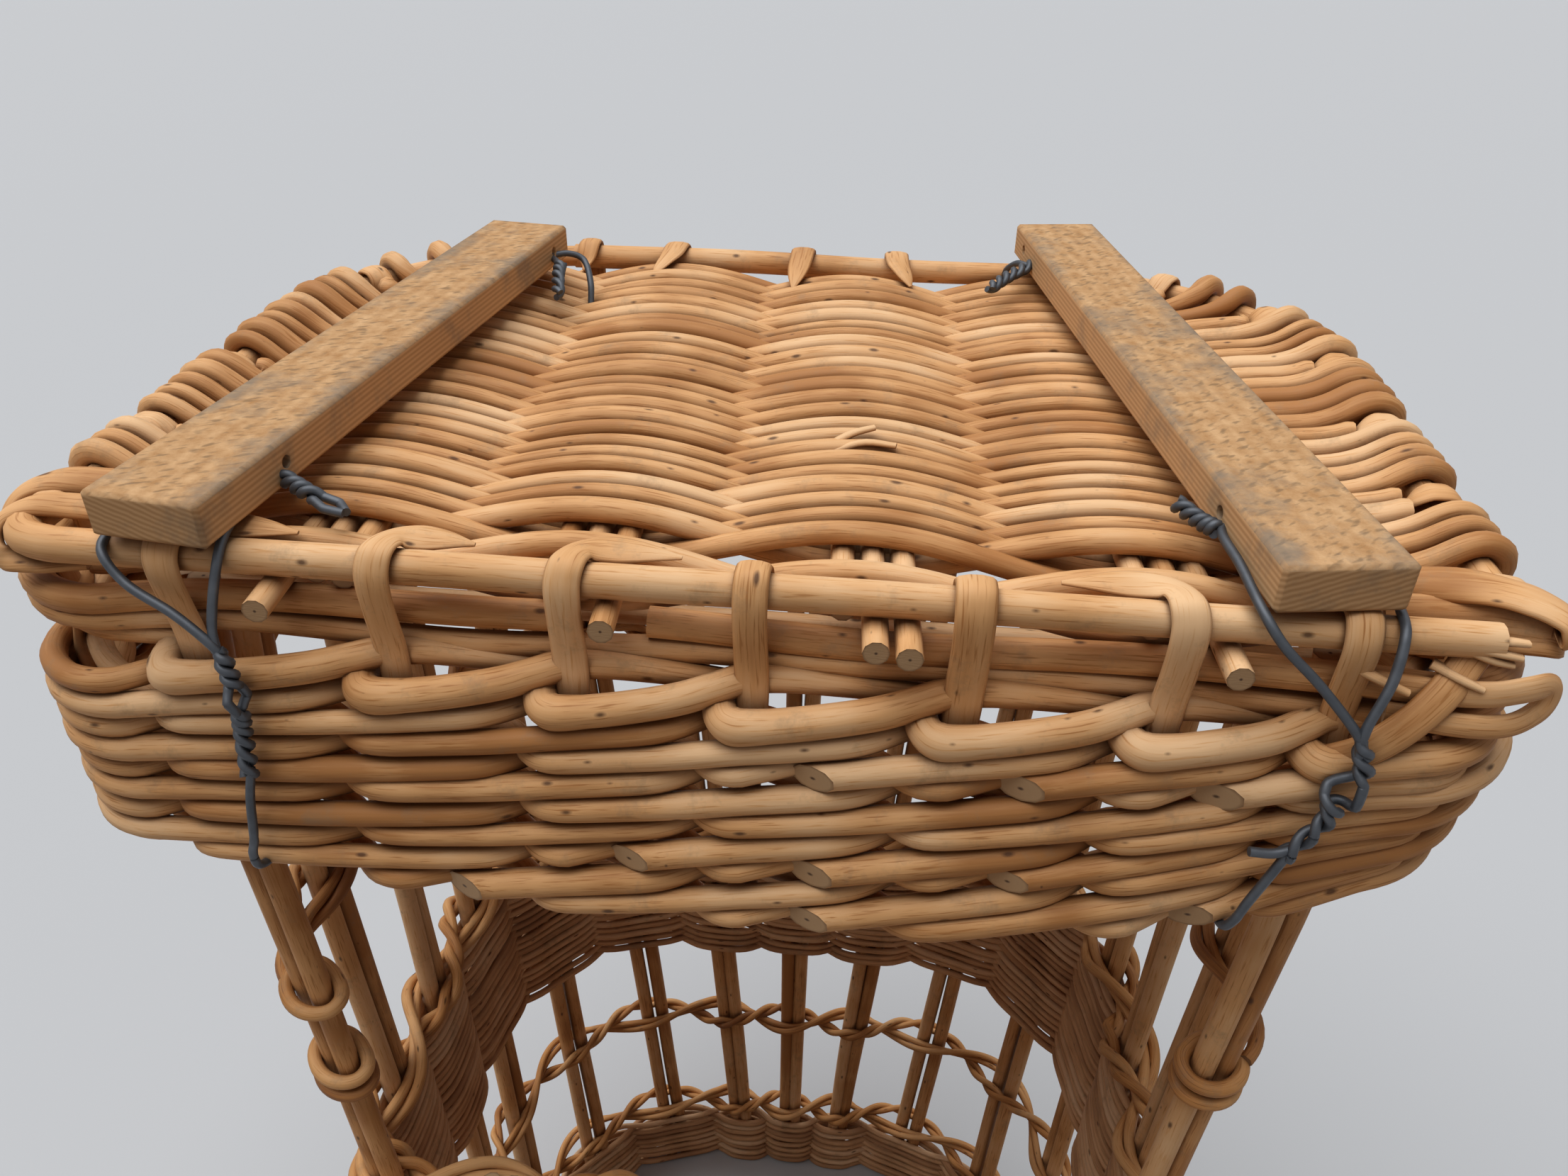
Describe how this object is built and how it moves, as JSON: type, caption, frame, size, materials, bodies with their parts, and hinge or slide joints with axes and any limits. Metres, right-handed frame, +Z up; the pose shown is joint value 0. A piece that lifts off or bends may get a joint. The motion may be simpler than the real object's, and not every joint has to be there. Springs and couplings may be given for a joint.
{
  "type": "wicker hamper with lift-off lid",
  "caption": "Open-sided wicker hamper standing on its round mouth, with a deep woven skirted lid and two wooden battens wired across the top.",
  "frame": {"origin": "middle of the bounding box's foot, on the floor under the rim", "axes": "+Z up, +X to the right and -Y towards the viewer of the pictured front"},
  "size_m": [0.474, 0.3482, 0.705],
  "materials": {
    "willow": "peeled willow rods, dry",
    "fine_willow": "thin willow rods, dry",
    "sawn_wood": "rough sawn, weathered",
    "iron_wire": "dull dark wire"
  },
  "bodies": {
    "hamper_body": {"rim_outer_weave": "fine_willow", "rim_inner_weave": "fine_willow", "corner_post_right": "willow", "corner_post_left": "willow", "right_stakes": "willow", "back_stakes": "willow", "left_stakes": "willow", "front_stakes": "willow", "rim_band_lower_rod": "willow", "rim_band_upper_rod": "willow", "middle_band_lower_rod": "willow", "middle_band_upper_rod": "willow", "belt_border_lower_rod": "willow", "belt_border_upper_rod": "willow", "upper_band_lower_rod": "willow", "upper_band_upper_rod": "willow", "belt_outer_weave": "fine_willow", "belt_inner_weave": "fine_willow", "top_hoop": "willow"},
    "lid": {"skirt_row_01": "willow", "skirt_row_02": "willow", "skirt_row_03": "willow", "skirt_row_04": "willow", "skirt_row_05": "willow", "skirt_row_06": "willow", "skirt_row_07": "willow", "skirt_row_08": "willow", "skirt_row_09": "willow", "skirt_row_10": "willow", "skirt_row_11": "willow", "front_stick": "willow", "side_stick_right": "willow", "back_stick": "willow", "side_stick_left": "willow", "warp_group_1": "willow", "warp_group_2": "willow", "warp_group_3": "willow", "warp_group_4": "willow", "panel_weft_odd": "willow", "panel_weft_even": "willow", "front_wraps": "willow", "right_wraps": "willow", "back_wraps": "willow", "left_wraps": "willow", "batten_left": "sawn_wood", "batten_right": "sawn_wood", "tie_wire_front_left": "iron_wire", "tie_wire_front_right": "iron_wire", "tie_wire_back_left": "iron_wire", "tie_wire_back_right": "iron_wire"}
  },
  "joints": [
    {"name": "lid_lift", "type": "slide", "parent": "hamper_body", "child": "lid", "axis": [0, 0, 1], "range_m": [0, 0.16]}
  ]
}
